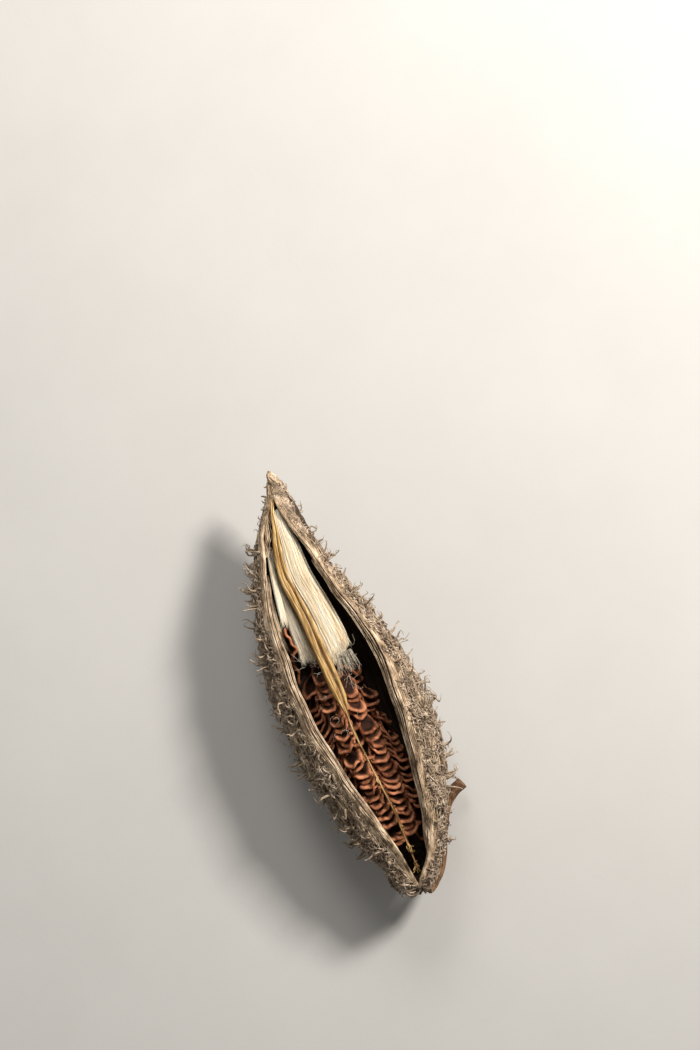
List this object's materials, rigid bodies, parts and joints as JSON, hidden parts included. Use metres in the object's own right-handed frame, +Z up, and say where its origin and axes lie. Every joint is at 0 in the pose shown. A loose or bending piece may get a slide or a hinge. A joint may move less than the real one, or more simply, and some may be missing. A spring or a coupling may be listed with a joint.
{
  "type": "milkweed seed pod",
  "caption": "Dry milkweed pod split along one side, lying on its back, with prickly felted husk, silk, overlapping flat seeds and a cut stalk.",
  "frame": {"origin": "on the surface the pod lies on, under the middle of the part's box", "axes": "+Y from the stalk's end towards the beak, along the pod; +X across it; +Z up, out of the split"},
  "size_m": [0.038, 0.1013, 0.0227],
  "materials": {
    "husk_wall": "matt, dry, grey-tan felted fibres",
    "inner_skin": "thin and papery, faintly satin, straw to brown",
    "placenta": "dry straw gold with brown flecks",
    "silk": "creamy white satin fibres",
    "seed_coat": "matt red-brown, paler corky margin, dark middle",
    "stalk_bark": "dull fibrous orange-brown"
  },
  "bodies": {
    "root": {"husk": "husk_wall", "inner_lining": "inner_skin", "placenta": "placenta", "seed_01": "seed_coat", "seed_02": "seed_coat", "seed_03": "seed_coat", "seed_04": "seed_coat", "seed_05": "seed_coat", "seed_06": "seed_coat", "seed_07": "seed_coat", "seed_08": "seed_coat", "seed_09": "seed_coat", "seed_10": "seed_coat", "seed_11": "seed_coat", "seed_12": "seed_coat", "seed_13": "seed_coat", "seed_14": "seed_coat", "seed_15": "seed_coat", "seed_16": "seed_coat", "seed_17": "seed_coat", "seed_18": "seed_coat", "seed_19": "seed_coat", "seed_20": "seed_coat", "seed_21": "seed_coat", "seed_22": "seed_coat", "seed_23": "seed_coat", "seed_24": "seed_coat", "seed_25": "seed_coat", "seed_26": "seed_coat", "seed_27": "seed_coat", "seed_28": "seed_coat", "seed_29": "seed_coat", "seed_30": "seed_coat", "seed_31": "seed_coat", "seed_32": "seed_coat", "seed_33": "seed_coat", "seed_34": "seed_coat", "seed_35": "seed_coat", "seed_36": "seed_coat", "seed_37": "seed_coat", "seed_38": "seed_coat", "seed_39": "seed_coat", "seed_40": "seed_coat", "seed_41": "seed_coat", "seed_42": "seed_coat", "seed_43": "seed_coat", "seed_44": "seed_coat", "seed_45": "seed_coat", "seed_46": "seed_coat", "silk_left": "silk", "silk_right": "silk", "silk_strand_1": "silk", "silk_strand_2": "silk", "stalk": "stalk_bark"}
  },
  "joints": []
}
